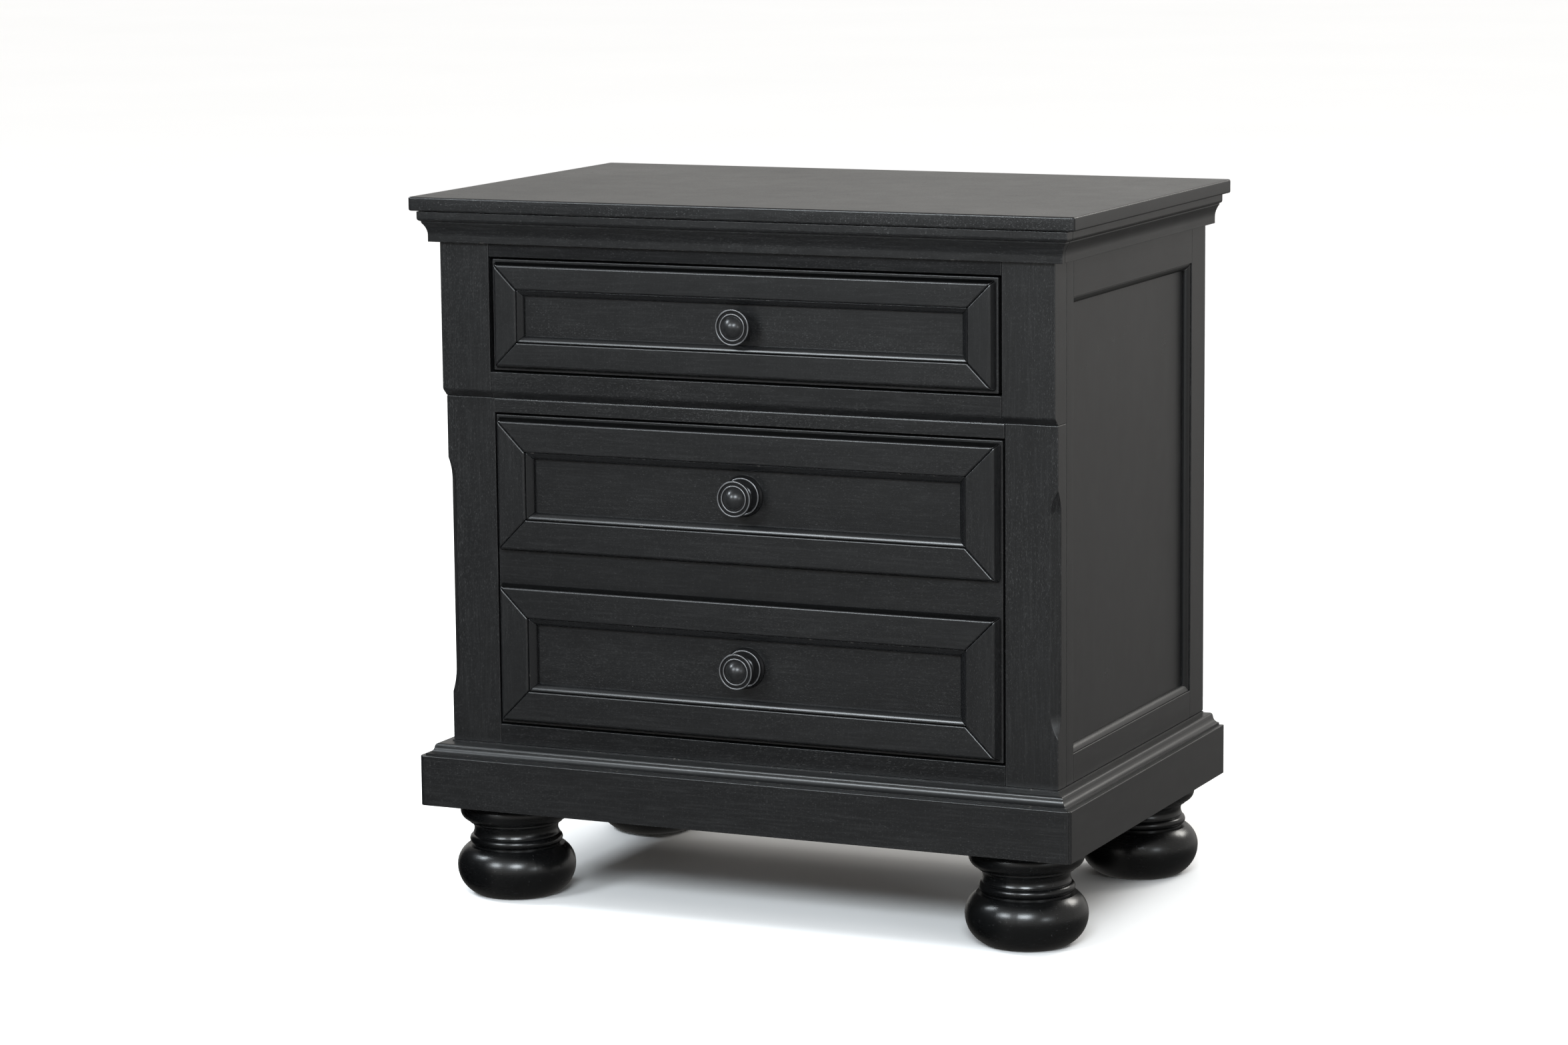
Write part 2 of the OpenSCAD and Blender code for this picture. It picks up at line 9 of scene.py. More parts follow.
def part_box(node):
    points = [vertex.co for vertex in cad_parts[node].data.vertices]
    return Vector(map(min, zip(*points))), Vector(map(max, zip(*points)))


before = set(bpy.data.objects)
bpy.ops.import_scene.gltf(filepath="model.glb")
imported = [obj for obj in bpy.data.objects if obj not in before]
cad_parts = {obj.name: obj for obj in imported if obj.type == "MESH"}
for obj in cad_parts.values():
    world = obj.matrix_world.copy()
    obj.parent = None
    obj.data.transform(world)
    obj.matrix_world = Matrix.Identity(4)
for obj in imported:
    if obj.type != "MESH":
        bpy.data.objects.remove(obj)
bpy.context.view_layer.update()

# Lengths are in metres, angles in degrees and colours in linear light.

# ---- camera values -------------------------------------------------------------

CAMERA_AZIMUTH = 24.45  # from the front, towards the right side
CAMERA_TILT = 9.04  # looking down
CAMERA_ROLL = -0.55
CAMERA_DISTANCE = 4.67  # from the aim
CAMERA_AIM = Vector((-0.0474, 0.0, 0.3738))
CAMERA_LENS = 104.4  # mm
SENSOR_WIDTH = 36.0  # mm
CAMERA_NEAR, CAMERA_FAR = 0.1, 500.0

# ---- studio values -------------------------------------------------------------

FLOOR_SIZE = 120.0
FLOOR_DARK, FLOOR_LIGHT = (0.84, 0.84, 0.84), (0.87, 0.87, 0.87)

# A band holds a range of directions, then the strengths at its two ends.
WORLD_TINT = (1.0, 0.98, 0.945, 1.0)
WORLD_SEEN = 1.04  # strength of the plain backdrop that the camera sees
HORIZON_BAND = (-0.33, 0.06, 0.09, 0.50)
OVERHEAD_BAND = (0.50, 0.88, 1.0, 0.30)
LEFT_BAND = (-0.62, -0.22, 0.80, 1.08)
FRONT_LEFT_BAND = (-0.78, -0.50, 0.01, 1.58)
FRONT_RIGHT_BAND = (-0.48, -0.22, 1.0, 0.705)
FRONT_LEAN = 0.25  # share of Y in the direction that the two front bands run along

SKY_POWER = 2.75
SKY_SPREAD = 100.0
COOL, WARM = (0.88, 0.95, 1.0), (1.0, 0.98, 0.93)
LIGHT_AIM = (0.0, 0.0, 0.36)
LIGHT_PIVOT = 0.3  # height that a softbox's own height angle is measured from
SOFTBOXES = {
    "front_left": {"at": (-20, 26, 4.6), "size": (1.3, 1.0), "power": 105.0, "tint": COOL},
    "front_right": {"at": (21, 27, 4.6), "size": (1.3, 1.0), "power": 150.0, "tint": COOL},
    "left": {"at": (-70, 40, 4.2), "size": (0.9, 0.9), "power": 110.0, "tint": COOL},
    "right_low": {"at": (58, 11, 5.0), "size": (0.9, 0.7), "power": 22.0, "tint": COOL},
    "right_back": {"at": (145, 31, 4.4), "size": (1.3, 1.3), "power": 68.0, "tint": WARM},
}


# ---- node graphs ---------------------------------------------------------------

# The place's X, Y and Z, put in the order along the grain, then across it.
AXES = {"X": (0, 1, 2), "Y": (1, 0, 2), "Z": (2, 0, 1)}
EDGE_SAMPLES = 4


class Graph:
    """A node tree, with short ways to add and join its nodes."""

    def __init__(self, tree):
        self.nodes, self.links = tree.nodes, tree.links

    def feed(self, socket, value):
        if isinstance(value, bpy.types.NodeSocket):
            self.links.new(value, socket)
        else:
            socket.default_value = value

    def feed_all(self, node, values):
        for socket, value in zip(node.inputs, values):
            self.feed(socket, value)
        return node.outputs[0]

    def math(self, operation, a, b=0.0, c=0.0, clamp=False):
        node = self.nodes.new("ShaderNodeMath")
        node.operation, node.use_clamp = operation, clamp
        return self.feed_all(node, (a, b, c))

    def times(self, a, b):
        return self.math("MULTIPLY", a, b)

    def add(self, base, value, amount):
        """The base, plus an amount of the value."""
        return self.math("MULTIPLY_ADD", value, amount, base)

    def distance(self, value, middle):
        return self.math("ABSOLUTE", self.math("SUBTRACT", value, middle))

    def vector(self, operation, a, b=(0, 0, 0)):
        node = self.nodes.new("ShaderNodeVectorMath")
        node.operation = operation
        self.feed(node.inputs[0], a)
        self.feed(node.inputs[1], b)
        return node.outputs["Value" if operation in ("DOT_PRODUCT", "LENGTH") else "Vector"]

    def split(self, vector):
        node = self.nodes.new("ShaderNodeSeparateXYZ")
        self.feed(node.inputs[0], vector)
        return node.outputs[0], node.outputs[1], node.outputs[2]

    def join(self, x, y, z):
        return self.feed_all(self.nodes.new("ShaderNodeCombineXYZ"), (x, y, z))

    def ramp(self, value, low, high, to_low=0.0, to_high=1.0):
        node = self.nodes.new("ShaderNodeMapRange")
        node.interpolation_type = "SMOOTHSTEP"
        return self.feed_all(node, (value, low, high, to_low, to_high))

    def mix(self, factor, a, b, kind="RGBA"):
        node = self.nodes.new("ShaderNodeMix")
        node.data_type = kind
        socket_type = "VALUE" if kind == "FLOAT" else kind
        self.feed(node.inputs["Factor"], factor)
        for name, value in (("A", a), ("B", b)):
            socket = next(s for s in node.inputs if s.name == name and s.type == socket_type)
            self.feed(socket, (*value, 1.0) if isinstance(value, tuple) else value)
        return next(s for s in node.outputs if s.type == socket_type)


class Finish(Graph):
    """A material's graph, around one shader."""

    def __init__(self, name):
        self.material = bpy.data.materials.new(name)
        self.material.use_nodes = True
        super().__init__(self.material.node_tree)
        self.nodes.clear()
        out = self.nodes.new("ShaderNodeOutputMaterial")
        self.shader = self.nodes.new("ShaderNodeBsdfPrincipled")
        self.links.new(self.shader.outputs[0], out.inputs["Surface"])

    def set(self, **values):
        for name, value in values.items():
            self.feed(self.shader.inputs[name.replace("_", " ")], value)

    def place(self):
        return self.nodes.new("ShaderNodeTexCoord").outputs["Object"]

    def normal(self):
        return self.nodes.new("ShaderNodeNewGeometry").outputs["Normal"]

    def noise(self, vector, cells=1.0, detail=2.0, rough=0.5, warp=0.0):
        """Noise with a number of cells per metre, or of cells per unit of a vector
        that is stretched already."""
        node = self.nodes.new("ShaderNodeTexNoise")
        self.feed(node.inputs["Vector"], vector)
        node.inputs["Scale"].default_value = cells
        node.inputs["Detail"].default_value = detail
        node.inputs["Roughness"].default_value = rough
        node.inputs["Distortion"].default_value = warp
        return node.outputs["Fac"]

    def stretched(self, vector, cells, detail, warp=0.0):
        """Noise with its own number of cells per metre along each axis."""
        return self.noise(self.vector("MULTIPLY", vector, cells), detail=detail, warp=warp)

    def bump(self, height, distance, strength):
        node = self.nodes.new("ShaderNodeBump")
        node.inputs["Distance"].default_value = distance
        node.inputs["Strength"].default_value = strength
        self.feed(node.inputs["Height"], height)
        self.feed(self.shader.inputs["Normal"], node.outputs[0])

    def edges(self, radius):
        """0 on flat faces, rising towards 1 on sharp edges."""
        bevel = self.nodes.new("ShaderNodeBevel")
        bevel.samples = EDGE_SAMPLES
        bevel.inputs["Radius"].default_value = radius
        facing = self.vector("DOT_PRODUCT", bevel.outputs[0], self.normal())
        return self.math("SUBTRACT", 1.0, facing, clamp=True)


# ---- grain ---------------------------------------------------------------------


def along_grain(graph, grain):
    """Position with the grain direction first. A grain is an axis name, or a
    function that gives a mask and the two axis names that it chooses between."""
    place = graph.split(graph.place())
    if isinstance(grain, str):
        return graph.join(*(place[i] for i in AXES[grain]))
    mask, first, second = grain(graph, place)
    off = graph.join(*(place[i] for i in AXES[first]))
    on = graph.join(*(place[i] for i in AXES[second]))
    return graph.mix(mask, off, on, "VECTOR")


def mitred(node_name, across):
    """Grain of a mitred frame: upright members run along Z, the others across."""
    low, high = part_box(node_name)
    axis = "XYZ".index(across)

    def inset(graph, place, i):
        to_middle = graph.distance(place[i], (low[i] + high[i]) / 2)
        return graph.math("SUBTRACT", (high[i] - low[i]) / 2, to_middle)

    def grain(graph, place):
        from_side, from_level = inset(graph, place, axis), inset(graph, place, 2)
        return graph.math("LESS_THAN", from_side, from_level), across, "Z"

    return grain


def framed(panel_name):
    """Grain of a square-jointed side frame: stiles along Z, rails along Y."""
    low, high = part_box(panel_name)

    def grain(graph, place):
        before = graph.math("LESS_THAN", place[1], low[1])
        behind = graph.math("GREATER_THAN", place[1], high[1])
        return graph.math("MAXIMUM", before, behind), "Y", "Z"

    return grain


# ---- black paint ---------------------------------------------------------------

# Cells of noise per metre, along the grain and then across it.
PAINT_WAVES = (2.2, 34.0, 34.0)
PAINT_FIBRES = (26.0, 620.0, 620.0)
PAINT_PORES = (380.0, 2200.0, 2200.0)
PORE_PATCHES = (5.0, 22.0, 22.0)
WAVE_WARP = 0.4
# Cells of noise per metre, the same in every direction.
CLOUD_CELLS, SMEAR_CELLS, CHIP_CELLS = 5.5, 38.0, 260.0

PATCH_SHARE = 0.16  # how much a patch opens the pores in it
PORE_OPEN = (0.71, 0.80)
FIBRE_SHOWS = (0.45, 0.75)
CHIP_SHOWS = (0.66, 0.70)
EDGE_REACH = 0.0016
# How sharp an edge is where each kind of wear starts and is full.
EDGE_CHIPPED = (0.10, 0.30)
EDGE_RUBBED = (0.04, 0.35)
EDGE_SMOOTHED = (0.02, 0.25)
EDGE_SHINY = (0.004, 0.06)
UPWARD_SHADE_SLOPE = (0.55, 0.85)  # upward part of the normal where the painted shade starts and is full

PAINT_DEEP, PAINT_THIN = (0.0034, 0.0035, 0.0038), (0.0062, 0.0063, 0.0066)
PAINTED_SHADE_TONE = (0.0006, 0.0006, 0.0006)
PORE_DUST, PORE_DUST_SHARE = (0.064, 0.063, 0.062), 0.30
FIBRE_GREY, FIBRE_GREY_SHARE = (0.045, 0.045, 0.045), 0.10
RUBBED_BLACK, RUBBED_SHARE = (0.022, 0.022, 0.023), 0.30
CHIPPED_WOOD, CHIPPED_SHARE = (0.30, 0.27, 0.24), 0.60

PAINT_ROUGH = 0.22
CLOUD_ROUGH, SMEAR_ROUGH, PORE_ROUGH, EDGE_ROUGH = 0.08, 0.07, 0.12, -0.12
PORE_RISE, FIBRE_RISE, SMEAR_RISE = -0.55, 0.30, 0.30
PAINT_BUMP, PAINT_BUMP_STRENGTH = 0.00008, 0.30


def black_paint(
    name, grain, gloss=0.0, pores=1.0, shift=0.0, sheen=0.5, burnish=0.5, upward_shade=0.0
):
    """Thin satin black over open-pored wood, rubbed through in tiny nicks. A shade
    amount above 0 paints shade on upward slopes: a darker tone and less sheen there."""
    graph = Finish(name)
    run = graph.vector("ADD", along_grain(graph, grain), (shift, shift, shift))
    place = graph.place()
    wave = graph.stretched(run, PAINT_WAVES, detail=3.0, warp=WAVE_WARP)
    fibre = graph.stretched(run, PAINT_FIBRES, detail=3.0)
    pore_field = graph.stretched(run, PAINT_PORES, detail=1.0)
    patch = graph.stretched(run, PORE_PATCHES, detail=2.0)
    pore = graph.ramp(graph.add(pore_field, patch, PATCH_SHARE), *PORE_OPEN)
    cloud = graph.noise(place, CLOUD_CELLS, detail=3.0)
    smear = graph.noise(place, SMEAR_CELLS, detail=4.0, rough=0.6)
    edge = graph.edges(EDGE_REACH)
    chip_field = graph.noise(place, CHIP_CELLS, detail=2.0)
    chip = graph.times(graph.ramp(edge, *EDGE_CHIPPED), graph.ramp(chip_field, *CHIP_SHOWS))

    dusty = graph.times(pore, min(1.0, PORE_DUST_SHARE * pores))
    streak = graph.times(graph.ramp(fibre, *FIBRE_SHOWS), FIBRE_GREY_SHARE * pores)
    rubbed = graph.times(graph.ramp(edge, *EDGE_RUBBED), RUBBED_SHARE)
    tone = graph.mix(wave, PAINT_DEEP, PAINT_THIN)
    tone = graph.mix(dusty, tone, PORE_DUST)
    tone = graph.mix(streak, tone, FIBRE_GREY)
    tone = graph.mix(rubbed, tone, RUBBED_BLACK)
    tone = graph.mix(graph.times(chip, CHIPPED_SHARE), tone, CHIPPED_WOOD)

    rough = graph.add(PAINT_ROUGH - gloss, cloud, CLOUD_ROUGH)
    rough = graph.add(rough, smear, SMEAR_ROUGH)
    rough = graph.add(rough, pore, PORE_ROUGH * pores)
    rough = graph.add(rough, graph.ramp(edge, *EDGE_SMOOTHED), EDGE_ROUGH)
    specular = graph.add(sheen, graph.ramp(edge, *EDGE_SHINY), burnish)
    # Painted shade: upward slopes get a darker tone and less sheen.
    if upward_shade:
        upward = graph.split(graph.normal())[2]
        dull = graph.ramp(upward, *UPWARD_SHADE_SLOPE, 1.0, 1.0 - upward_shade)
        specular = graph.times(specular, dull)
        tone = graph.mix(dull, PAINTED_SHADE_TONE, tone)
    graph.set(Base_Color=tone, Roughness=rough, Specular_IOR_Level=specular)

    height = graph.times(pore, PORE_RISE * pores)
    height = graph.add(height, fibre, FIBRE_RISE * pores)
    height = graph.add(height, smear, SMEAR_RISE * min(1.0, pores))
    graph.bump(height, PAINT_BUMP, PAINT_BUMP_STRENGTH)
    return graph.material


# ---- turned feet ---------------------------------------------------------------

LATHE_LINES = 900.0  # cells of noise per metre of height
FOOT_CLOUD_CELLS, FOOT_SPECK_CELLS = 18.0, 420.0
FOOT_SPECK_SHOWS = (0.70, 0.74)
FOOT_EDGE_RUBBED = (0.05, 0.4)
FOOT_DEEP, FOOT_THIN = (0.0014, 0.0015, 0.0016), (0.0030, 0.0031, 0.0033)
FOOT_RUBBED, FOOT_RUBBED_SHARE = (0.05, 0.05, 0.05), 0.35
FOOT_SPECK, FOOT_SPECK_SHARE = (0.10, 0.10, 0.10), 0.12
FOOT_ROUGH, FOOT_CLOUD_ROUGH, FOOT_LINE_ROUGH = 0.20, 0.10, 0.05
FOOT_SHEEN = 0.43
FOOT_CLOUD_RISE, FOOT_LINE_RISE = 0.6, 0.3
FOOT_BUMP, FOOT_BUMP_STRENGTH = 0.00006, 0.22


def turned_paint(name):
    """Glossier black on the turned feet, with faint lathe rings."""
    graph = Finish(name)
    place = graph.place()
    level = graph.times(graph.split(place)[2], LATHE_LINES)
    rings = graph.noise(graph.join(0.0, 0.0, level), detail=2.0)
    cloud = graph.noise(place, FOOT_CLOUD_CELLS, detail=4.0)
    speck = graph.ramp(graph.noise(place, FOOT_SPECK_CELLS, detail=1.0), *FOOT_SPECK_SHOWS)
    rubbed = graph.ramp(graph.edges(EDGE_REACH), *FOOT_EDGE_RUBBED)
    tone = graph.mix(cloud, FOOT_DEEP, FOOT_THIN)
    tone = graph.mix(graph.times(rubbed, FOOT_RUBBED_SHARE), tone, FOOT_RUBBED)
    tone = graph.mix(graph.times(speck, FOOT_SPECK_SHARE), tone, FOOT_SPECK)
    rough = graph.add(FOOT_ROUGH, cloud, FOOT_CLOUD_ROUGH)
    rough = graph.add(rough, rings, FOOT_LINE_ROUGH)
    graph.set(Base_Color=tone, Roughness=rough, Specular_IOR_Level=FOOT_SHEEN)
    height = graph.add(graph.times(cloud, FOOT_CLOUD_RISE), rings, FOOT_LINE_RISE)
    graph.bump(height, FOOT_BUMP, FOOT_BUMP_STRENGTH)
    return graph.material


# ---- knobs and rosettes --------------------------------------------------------

# A ridge lies between two distances behind the front of its node.
KNOB_RIDGE = (0.0055, 0.00575)
ROSETTE_RIDGE = (-0.0002, 0.0001)
RIDGE_STARTS, RIDGE_ENDS = 0.0002, 0.00035  # how softly the worn ridge with its painted highlight starts and ends
RIDGE_RADIUS = (0.0114, 0.0119)
GROOVE_RADIUS = (0.0100, 0.0112)
GROOVE_SHARE = 0.6
MOTTLE_CELLS, PIT_CELLS = 160.0, 900.0
MOTTLE_WEAR_AND_HIGHLIGHT = (0.0, 0.50)
PIT_SHOWS = (0.60, 0.70)
METAL_DARK, METAL_LIGHT = (0.018, 0.0182, 0.0188), (0.052, 0.052, 0.053)
METAL_GROOVE = (0.006, 0.006, 0.0065)
# Tone of the worn ring, lighter than wear alone: partly a painted highlight.
METAL_WEAR_AND_HIGHLIGHT, WEAR_AND_HIGHLIGHT_SHARE = (0.19, 0.19, 0.195), 0.9
METAL_AMOUNT = 0.72
METAL_ROUGH, MOTTLE_ROUGH, PIT_ROUGH, WEAR_AND_HIGHLIGHT_ROUGH = 0.27, 0.10, 0.08, 0.06
MOTTLE_RISE, PIT_RISE = 0.7, -0.4
METAL_BUMP, METAL_BUMP_STRENGTH = 0.00004, 0.25


def from_knob_axis(graph, node_name):
    """Distance from the axis of the node's one knob, or of the nearer of its two."""
    low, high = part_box(node_name)
    x, _, z = graph.split(graph.place())
    apart = (high[2] - low[2]) / 2 - (high[0] - low[0]) / 2
    level = graph.math("SUBTRACT", graph.distance(z, (high[2] + low[2]) / 2), apart)
    return graph.vector("LENGTH", graph.join(x, 0.0, level))


def knob_metal(name, node_name, ridge):
    """Dark pewter casting, with its raised ring worn bright and lightened further as a painted
    highlight.
    """
    graph = Finish(name)
    place = graph.place()
    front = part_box(node_name)[0][1]
    ridge_near, ridge_far = ridge
    mottle = graph.noise(place, MOTTLE_CELLS, detail=5.0, rough=0.65)
    pit = graph.ramp(graph.noise(place, PIT_CELLS, detail=2.0), *PIT_SHOWS)
    depth = graph.math("SUBTRACT", graph.split(place)[1], front)
    out = from_knob_axis(graph, node_name)
    near = graph.ramp(depth, ridge_near - RIDGE_STARTS, ridge_near)
    far = graph.ramp(depth, ridge_far, ridge_far + RIDGE_ENDS, 1.0, 0.0)
    ring = graph.times(graph.times(near, far), graph.ramp(out, *RIDGE_RADIUS))
    # Wear and painted highlight: the raised ring is made lighter all round.
    wear_and_highlight = graph.times(ring, graph.ramp(mottle, *MOTTLE_WEAR_AND_HIGHLIGHT))
    tone = graph.mix(mottle, METAL_DARK, METAL_LIGHT)
    tone = graph.mix(graph.ramp(out, *GROOVE_RADIUS, 0.0, GROOVE_SHARE), tone, METAL_GROOVE)
    tone = graph.mix(graph.times(wear_and_highlight, WEAR_AND_HIGHLIGHT_SHARE), tone, METAL_WEAR_AND_HIGHLIGHT)
    rough = graph.add(METAL_ROUGH, mottle, MOTTLE_ROUGH)
    rough = graph.add(rough, pit, PIT_ROUGH)
    rough = graph.add(rough, wear_and_highlight, WEAR_AND_HIGHLIGHT_ROUGH)
    graph.set(Base_Color=tone, Metallic=METAL_AMOUNT, Roughness=rough)
    height = graph.add(graph.times(pit, PIT_RISE), mottle, MOTTLE_RISE)
    graph.bump(height, METAL_BUMP, METAL_BUMP_STRENGTH)
    return graph.material


# ---- bare wood -----------------------------------------------------------------

# Light and dark tones of each kind of wood.
LACQUERED = (0.52, 0.38, 0.24), (0.33, 0.21, 0.115)
PLY = (0.42, 0.30, 0.18), (0.27, 0.17, 0.09)
SAWN = (0.46, 0.34, 0.21), (0.30, 0.20, 0.11)
# Dark tones for the boards under the case, so that the feet reflect them dark.
UNDERSIDE_DARK = (0.060, 0.045, 0.034), (0.030, 0.022, 0.017)
WOOD_ROUGH, PANEL_ROUGH, SAWN_ROUGH = 0.42, 0.5, 0.6
# Growth rings per metre across the grain.
SOLID_RINGS, FLOOR_RINGS, BOARD_RINGS, PANEL_RINGS = 26.0, 9.0, 8.0, 7.0
SAW_MARKS = 0.5

WOOD_WANDER = (1.6, 9.0, 9.0)
WOOD_FIBRES = (18.0, 700.0, 700.0)
WOOD_PORES = (60.0, 1500.0, 1500.0)
BLOTCH_CELLS, SAW_CELLS = 4.0, 500.0
WANDER_RINGS = 5.0  # how many rings the wander can shift
RING_TILT = 0.7  # how steeply the rings cross the second axis
RADIANS_PER_RING = 6.283
WOOD_PORE_OPEN = (0.62, 0.72)
BLOTCH_SHOWS = (0.35, 0.75)
RING_SHARE, WOOD_FIBRE_SHARE, WOOD_PORE_SHARE, BLOTCH_SHARE = 0.55, 0.35, 0.40, 0.22
WOOD_PORE_SHADE = 0.45
WOOD_FIBRE_ROUGH, WOOD_PORE_ROUGH = 0.18, 0.12
WOOD_FIBRE_RISE, WOOD_PORE_RISE = 0.6, -0.6
WOOD_BUMP, WOOD_BUMP_STRENGTH = 0.00016, 0.6


def growth_bands(graph, run, rings):
    """0 to 1 and back once in each growth ring."""
    wander = graph.stretched(run, WOOD_WANDER, detail=2.0)
    _, first, second = graph.split(run)
    turns = graph.times(wander, WANDER_RINGS)
    turns = graph.add(turns, first, rings)
    turns = graph.add(turns, second, rings * RING_TILT)
    return graph.add(0.5, graph.math("SINE", graph.times(turns, RADIANS_PER_RING)), 0.5)


def bare_wood(name, grain, tones, rough=WOOD_ROUGH, rings=SOLID_RINGS, saw=0.0):
    """Pale clear-lacquered or sawn wood with growth rings, fibre and pores."""
    graph = Finish(name)
    light, dark = tones
    run = along_grain(graph, grain)
    band = growth_bands(graph, run, rings)
    fibre = graph.stretched(run, WOOD_FIBRES, detail=4.0)
    pore = graph.ramp(graph.stretched(run, WOOD_PORES, detail=1.0), *WOOD_PORE_OPEN)
    blotch = graph.ramp(graph.noise(graph.place(), BLOTCH_CELLS, detail=3.0), *BLOTCH_SHOWS)
    pore_tone = tuple(v * WOOD_PORE_SHADE for v in dark)
    tone = graph.mix(graph.times(band, RING_SHARE), light, dark)
    tone = graph.mix(graph.times(fibre, WOOD_FIBRE_SHARE), tone, dark)
    tone = graph.mix(graph.times(pore, WOOD_PORE_SHARE), tone, pore_tone)
    tone = graph.mix(graph.times(blotch, BLOTCH_SHARE), tone, dark)
    roughness = graph.add(rough, fibre, WOOD_FIBRE_ROUGH)
    roughness = graph.add(roughness, pore, WOOD_PORE_ROUGH)
    graph.set(Base_Color=tone, Roughness=roughness)
    height = graph.add(graph.times(pore, WOOD_PORE_RISE), fibre, WOOD_FIBRE_RISE)
    height = graph.add(height, graph.noise(graph.place(), SAW_CELLS, detail=2.0), saw)
    graph.bump(height, WOOD_BUMP, WOOD_BUMP_STRENGTH)
    return graph.material


# ---- felt, steel and floor -----------------------------------------------------

PILE_CELLS = 1600.0
BRUSHED_CELLS = (26.0, 9.0, 26.0)
BRUSHED_SHOWS = (0.35, 0.7)
FELT_DARK, FELT_LIGHT = (0.007, 0.006, 0.006), (0.034, 0.030, 0.029)
FELT_BRUSHED, FELT_BRUSHED_SHARE = (0.055, 0.050, 0.048), 0.35
FELT_ROUGH, FELT_SHEEN, FELT_SHEEN_ROUGH = 0.95, 0.08, 0.4
FELT_BUMP, FELT_BUMP_STRENGTH = 0.0004, 0.8

DRAW_LINES = (1400.0, 6.0, 1400.0)
SPANGLE_CELLS = 45.0
STEEL_DARK, STEEL_LIGHT = (0.46, 0.47, 0.49), (0.62, 0.63, 0.64)
STEEL_ROUGH, SPANGLE_ROUGH, DRAW_ROUGH = 0.22, 0.18, 0.12
STEEL_BUMP, STEEL_BUMP_STRENGTH = 0.00005, 0.4

FLOOR_CLOUD_CELLS, FLOOR_GRIT_CELLS = 0.8, 240.0
FLOOR_ROUGH, FLOOR_GRIT_ROUGH = 0.78, 0.1


def felt(name):
    """Short dark nap, brushed unevenly."""
    graph = Finish(name)
    place = graph.place()
    pile = graph.noise(place, PILE_CELLS, detail=3.0, rough=0.7)
    brushed = graph.ramp(graph.stretched(place, BRUSHED_CELLS, detail=4.0), *BRUSHED_SHOWS)
    tone = graph.mix(pile, FELT_DARK, FELT_LIGHT)
    tone = graph.mix(graph.times(brushed, FELT_BRUSHED_SHARE), tone, FELT_BRUSHED)
    graph.set(Base_Color=tone, Roughness=FELT_ROUGH)
    graph.set(Sheen_Weight=FELT_SHEEN, Sheen_Roughness=FELT_SHEEN_ROUGH)
    graph.bump(graph.math("ADD", pile, brushed), FELT_BUMP, FELT_BUMP_STRENGTH)
    return graph.material


def zinc_steel(name):
    """Bright rolled steel with draw lines along its length and dull spangle."""
    graph = Finish(name)
    place = graph.place()
    lines = graph.stretched(place, DRAW_LINES, detail=3.0)
    spangle = graph.noise(place, SPANGLE_CELLS, detail=4.0)
    rough = graph.add(STEEL_ROUGH, spangle, SPANGLE_ROUGH)
    rough = graph.add(rough, lines, DRAW_ROUGH)
    tone = graph.mix(spangle, STEEL_DARK, STEEL_LIGHT)
    graph.set(Base_Color=tone, Metallic=1.0, Roughness=rough)
    graph.bump(lines, STEEL_BUMP, STEEL_BUMP_STRENGTH)
    return graph.material


def studio_floor(name):
    """Pale matt paper with a trace of cloud and grit."""
    graph = Finish(name)
    place = graph.place()
    cloud = graph.noise(place, FLOOR_CLOUD_CELLS, detail=3.0)
    grit = graph.noise(place, FLOOR_GRIT_CELLS, detail=2.0)
    rough = graph.add(FLOOR_ROUGH, grit, FLOOR_GRIT_ROUGH)
    graph.set(Base_Color=graph.mix(cloud, FLOOR_DARK, FLOOR_LIGHT), Roughness=rough)
    return graph.material


# ---- dressing the CAD nodes ----------------------------------------------------

WELD_DISTANCE = 2e-6
FLAT_ANGLE = 0.6  # faces closer to flat than this are joined
SHARP_ANGLE = 30.0  # edges sharper than this are rounded
NORMAL_WEIGHT = 80
# How far each kind of piece has its sharp edges rounded.
EASE_TOP, EASE_FACE, EASE_PLINTH, EASE_CROWN = 0.0019, 0.0017, 0.0015, 0.0008
EASE_BOARD, EASE_CAP, EASE_FOOT, EASE_FINE, EASE_STEEL = 0.0007, 0.0005, 0.0004, 0.0003, 0.0002
ROUND = 3  # bevel segments where the rounding is wide enough to see


def clean_group():
    """Geometry nodes: one welded, smooth-shaded mesh for the bevel to work on."""
    group = bpy.data.node_groups.new("weld_and_smooth", "GeometryNodeTree")
    for in_out in ("INPUT", "OUTPUT"):
        group.interface.new_socket("Geometry", in_out=in_out, socket_type="NodeSocketGeometry")
    start, end = group.nodes.new("NodeGroupInput"), group.nodes.new("NodeGroupOutput")
    forget = group.nodes.new("GeometryNodeRemoveAttribute")
    forget.inputs["Name"].default_value = "custom_normal"
    weld = group.nodes.new("GeometryNodeMergeByDistance")
    weld.inputs["Distance"].default_value = WELD_DISTANCE
    smooth = group.nodes.new("GeometryNodeSetShadeSmooth")
    smooth.domain = "FACE"
    chain = [start, forget, weld, smooth, end]
    for before, after in zip(chain, chain[1:]):
        group.links.new(before.outputs[0], after.inputs[0])
    return group


CLEAN = clean_group()


def ease_edges(obj, width, segments):
    """Rounds a CAD node's sharp edges a little, as sanding and paint do."""
    clean = obj.modifiers.new("clean", "NODES")
    clean.node_group = CLEAN
    flat = obj.modifiers.new("flat", "DECIMATE")
    flat.decimate_type = "DISSOLVE"
    flat.angle_limit = math.radians(FLAT_ANGLE)
    bevel = obj.modifiers.new("ease", "BEVEL")
    bevel.width, bevel.segments = width, segments
    bevel.limit_method, bevel.angle_limit = "ANGLE", math.radians(SHARP_ANGLE)
    bevel.use_clamp_overlap = True
    even = obj.modifiers.new("even", "WEIGHTED_NORMAL")
    even.mode, even.weight = "FACE_AREA", NORMAL_WEIGHT


